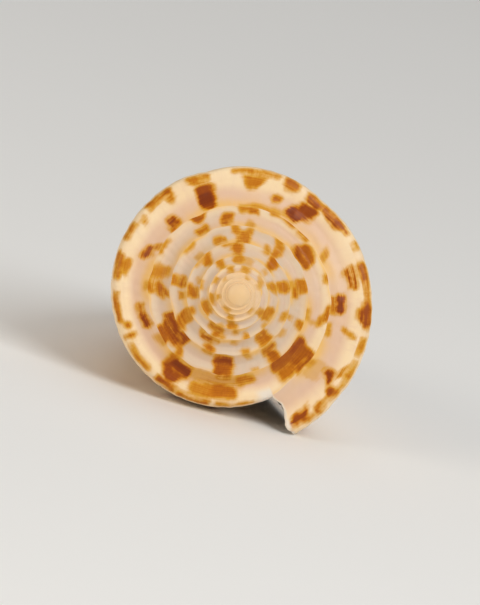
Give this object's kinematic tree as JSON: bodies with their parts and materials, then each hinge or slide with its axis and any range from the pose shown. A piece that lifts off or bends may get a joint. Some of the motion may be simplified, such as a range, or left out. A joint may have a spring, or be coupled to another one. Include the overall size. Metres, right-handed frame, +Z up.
{
  "type": "cone shell",
  "caption": "Empty cone-shaped sea shell with a low stepped spire, a rounded shoulder and a long narrow aperture, lying aperture down.",
  "frame": {"origin": "on the resting surface, below the middle of the shell's box", "axes": "+Z up from the resting surface, +Y towards the narrow anterior end, spire facing -Y"},
  "size_m": [0.0374, 0.061, 0.0342],
  "materials": {
    "shell": "cream shell with chestnut and ochre blotches, semi-gloss, fine spiral threads and growth lines"
  },
  "bodies": {
    "root": {"shell": "shell"}
  },
  "joints": []
}
